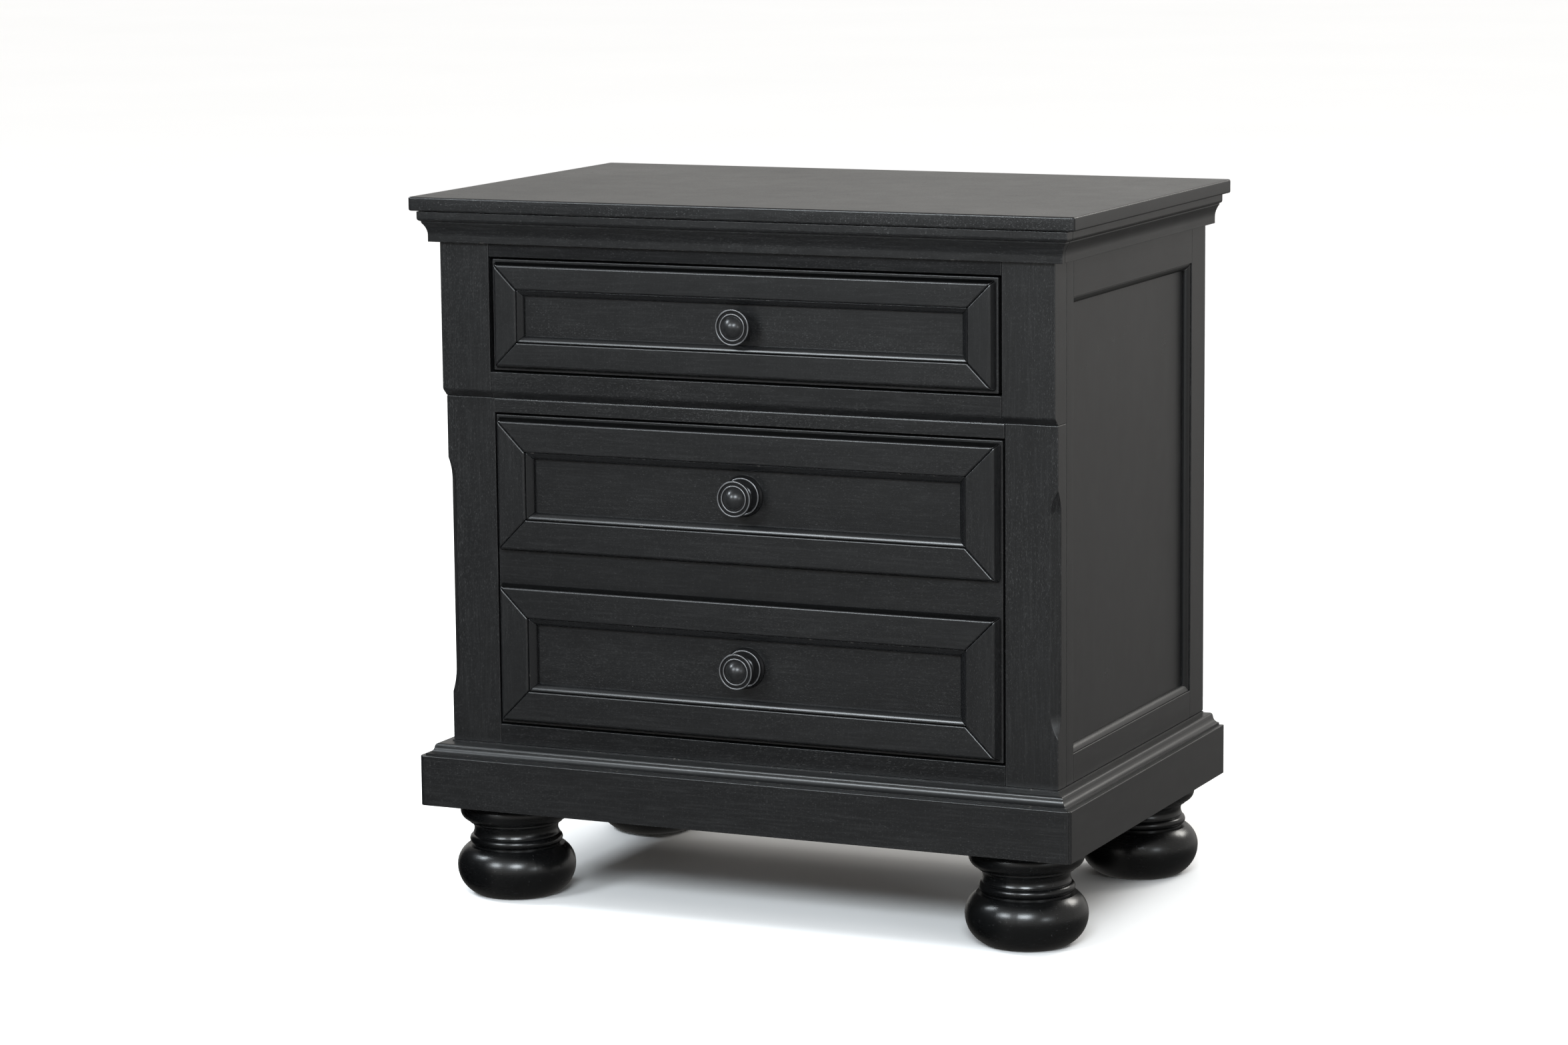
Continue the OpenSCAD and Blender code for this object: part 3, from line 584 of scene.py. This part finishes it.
def dress(names, material, ease=EASE_BOARD, segments=2):
    """Gives named CAD nodes one material and rounds their edges."""
    for name in names:
        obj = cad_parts[name]
        for material_slot in obj.material_slots:
            material_slot.link = "OBJECT"
            material_slot.material = material
        ease_edges(obj, ease, segments)


def dress_cabinet():
    """Outside of the case. A shift moves a paint's grain, in metres, so that it isn't
    the same as the grain next to it."""
    paint_x = black_paint("paint_grain_x", "X")
    paint_y = black_paint("paint_grain_y", "Y", shift=3.1)
    paint_z = black_paint("paint_grain_z", "Z", shift=5.3)
    paint_top = black_paint("paint_top", "X", shift=8.7, pores=1.4)
    paint_panel = black_paint("paint_panel", "Z", shift=11.0)
    open_x = black_paint("paint_open_x", "X", pores=0.9, shift=6.1)
    smooth_x = black_paint("paint_smooth_x", "X", pores=0.25, shift=7.7, burnish=0.1)
    smooth_y = black_paint("paint_smooth_y", "Y", pores=0.25, shift=9.3, burnish=0.0)
    dress(["top_panel"], paint_top, EASE_TOP, ROUND)
    dress(["middle_rail", "plinth_back"], paint_x)
    # The frieze and bottom rails get a less shiny copy of the paint: painted shade under the
    # crown and under the bottom drawer.
    dress(["frieze_rail"], black_paint("paint_frieze_shaded", "X", shift=12.1, sheen=0.2))
    dress(["bottom_rail"], black_paint("paint_bottom_shaded", "X", shift=13.3, sheen=0.28))
    dress(["cornice_front"], open_x, EASE_CROWN)
    dress(["plinth_front"], paint_x, EASE_PLINTH, ROUND)
    dress(["cap_front"], smooth_x, EASE_CAP)
    dress(["cornice_left", "cornice_right"], paint_y)
    dress(["cap_left", "cap_right"], smooth_y, EASE_CAP)
    dress(["plinth_left", "plinth_right"], paint_y, EASE_PLINTH, ROUND)
    dress(["upper_stile_left", "upper_stile_right"], paint_z)
    dress(["lower_stile_left", "lower_stile_right"], paint_z)
    dress(["side_panel_left", "side_panel_right"], paint_panel)
    for side in ("left", "right"):
        panel, bead = "side_panel_" + side, "side_bead_" + side
        paint_frame = black_paint("paint_side_" + side, framed(panel))
        paint_bead = black_paint("paint_bead_" + side, mitred(bead, "Y"), pores=0.25)
        dress(["side_frame_" + side], paint_frame)
        dress([bead], paint_bead, EASE_FINE)
    dress(["feet"], turned_paint("paint_turned"), EASE_FOOT)


def dress_fronts():
    """Drawer faces, their beads, knobs and rosettes."""
    dress(["top_front_board"], black_paint("paint_top_board", "X", shift=1.7, pores=1.0))
    dress(["low_front_board"], black_paint("paint_low_board", "X", shift=4.9, pores=0.8))
    for node in ("top_face_frame", "low_upper_frame", "low_lower_frame"):
        # Face frames get painted shade on their upward slopes, where the rail above shades them.
        paint = black_paint("paint_" + node, mitred(node, "X"), shift=2.3, pores=0.8, upward_shade=0.85)
        dress([node], paint, EASE_FACE, ROUND)
    beads = black_paint("paint_beads", "X", pores=0.2, gloss=0.07, sheen=0.4, burnish=0.0)
    dress(["top_bead", "low_beads"], beads, EASE_FINE)
    for node in ("top_knob", "low_knobs"):
        dress([node], knob_metal("metal_" + node, node, KNOB_RIDGE), EASE_FINE)
    rosettes = knob_metal("metal_rosettes", "low_rosettes", ROSETTE_RIDGE)
    dress(["low_rosettes"], rosettes, EASE_FINE)


def dress_boxes():
    """The three drawer boxes behind the fronts."""
    sides = bare_wood("box_wood_y", "Y", LACQUERED)
    across = bare_wood("box_wood_x", "X", LACQUERED)
    dress(["top_side_left", "top_side_right", "low_side_left", "low_side_right"], sides)
    dress(["tray_side_left", "tray_side_right"], sides)
    dress(["top_back", "low_back", "tray_back", "tray_front"], across)
    floors = bare_wood("floor_ply", "X", PLY, rings=FLOOR_RINGS)
    dress(["top_floor", "low_floor"], floors, EASE_FINE)
    dress(["tray_floor"], felt("tray_felt"), EASE_FINE)


def dress_carcass():
    """Boards, rails and hardware inside the case and behind it."""
    web = bare_wood("web_ply", "X", PLY, rings=BOARD_RINGS)
    base = bare_wood("base_ply", "X", UNDERSIDE_DARK, rings=BOARD_RINGS)
    back = bare_wood("back_ply", "Z", PLY, PANEL_ROUGH, PANEL_RINGS)
    rails = bare_wood("rail_wood", "Y", SAWN, SAWN_ROUGH, saw=SAW_MARKS)
    blocks = bare_wood("block_wood", "X", UNDERSIDE_DARK, SAWN_ROUGH, saw=SAW_MARKS)
    dress(["upper_web"], web, EASE_FINE)
    dress(["base_board"], base, EASE_FINE)
    dress(["back_panel"], back, EASE_FINE)
    dress(["tray_guides", "slide_cleats"], rails)
    dress(["corner_blocks"], blocks)
    slides = ["case_slides", "top_slides", "low_slides", "top_slide_mids", "low_slide_mids"]
    dress(slides + ["foot_bolts"], zinc_steel("zinc_steel"), EASE_STEEL)


# ---- studio --------------------------------------------------------------------


def add_floor():
    """A wide pale floor, left out of mirror-like reflections."""
    mesh = bpy.data.meshes.new("studio_floor")
    half = FLOOR_SIZE / 2
    corners = [(-half, -half, 0), (half, -half, 0), (half, half, 0), (-half, half, 0)]
    mesh.from_pydata(corners, [], [(0, 1, 2, 3)])
    floor = bpy.data.objects.new("studio_floor", mesh)
    floor.data.materials.append(studio_floor("studio_floor"))
    floor.visible_glossy = False
    bpy.context.scene.collection.objects.link(floor)


def add_world():
    """Soft light all round that fades out below the horizon. The camera itself
    sees a plain pale backdrop."""
    world = bpy.data.worlds.new("studio")
    world.use_nodes = True
    graph = Graph(world.node_tree)
    x, y, z = graph.split(graph.nodes.new("ShaderNodeTexCoord").outputs["Generated"])
    front = graph.add(x, y, FRONT_LEAN)
    level = graph.times(graph.ramp(z, *HORIZON_BAND), graph.ramp(z, *OVERHEAD_BAND))
    level = graph.times(level, graph.ramp(x, *LEFT_BAND))
    ahead = graph.times(graph.ramp(front, *FRONT_LEFT_BAND), graph.ramp(front, *FRONT_RIGHT_BAND))
    by_camera = graph.nodes.new("ShaderNodeLightPath").outputs["Is Camera Ray"]
    strength = graph.mix(by_camera, graph.times(level, ahead), WORLD_SEEN, "FLOAT")
    background = graph.nodes["Background"]
    graph.feed(background.inputs["Color"], WORLD_TINT)
    graph.feed(background.inputs["Strength"], strength)
    bpy.context.scene.world = world


def add_sky():
    """Broad light from straight above, left out of mirror-like reflections."""
    data = bpy.data.lights.new("sky_panel", "SUN")
    data.energy, data.angle = SKY_POWER, math.radians(SKY_SPREAD)
    sky = bpy.data.objects.new("sky_panel", data)
    sky.visible_glossy = False
    bpy.context.scene.collection.objects.link(sky)


def around(azimuth, height, distance):
    """A place about the nightstand: azimuth from the front, towards the right."""
    turn, rise = math.radians(azimuth), math.radians(height)
    across = distance * math.cos(rise)
    up = LIGHT_PIVOT + distance * math.sin(rise)
    return across * math.sin(turn), -across * math.cos(turn), up


def add_softbox(name, at, size, power, tint):
    """A rectangular light that faces the cabinet. It is placed by its azimuth, height
    angle and distance."""
    data = bpy.data.lights.new(name, "AREA")
    data.shape = "RECTANGLE"
    data.size, data.size_y = size
    data.energy, data.color = power, tint
    light = bpy.data.objects.new(name, data)
    light.location = around(*at)
    direction = Vector(LIGHT_AIM) - Vector(around(*at))
    light.rotation_mode = "QUATERNION"
    light.rotation_quaternion = direction.to_track_quat("-Z", "Y")
    bpy.context.scene.collection.objects.link(light)


def add_camera():
    """A long lens, turned and tilted about the aim."""
    data = bpy.data.cameras.new("camera")
    data.lens, data.sensor_width, data.sensor_fit = CAMERA_LENS, SENSOR_WIDTH, "HORIZONTAL"
    data.clip_start, data.clip_end = CAMERA_NEAR, CAMERA_FAR
    camera = bpy.data.objects.new("camera", data)
    turn = (
        Matrix.Rotation(math.radians(CAMERA_AZIMUTH), 4, "Z")
        @ Matrix.Rotation(math.radians(90.0 - CAMERA_TILT), 4, "X")
        @ Matrix.Rotation(math.radians(CAMERA_ROLL), 4, "Z")
    )
    back = turn.to_3x3() @ Vector((0.0, 0.0, 1.0))
    camera.matrix_world = Matrix.Translation(CAMERA_AIM + back * CAMERA_DISTANCE) @ turn
    bpy.context.scene.collection.objects.link(camera)
    bpy.context.scene.camera = camera


dress_cabinet()
dress_fronts()
dress_boxes()
dress_carcass()
add_floor()
add_world()
add_sky()
for softbox, values in SOFTBOXES.items():
    add_softbox(softbox, **values)
add_camera()
bpy.context.scene.view_settings.view_transform = "Standard"
bpy.context.view_layer.update()
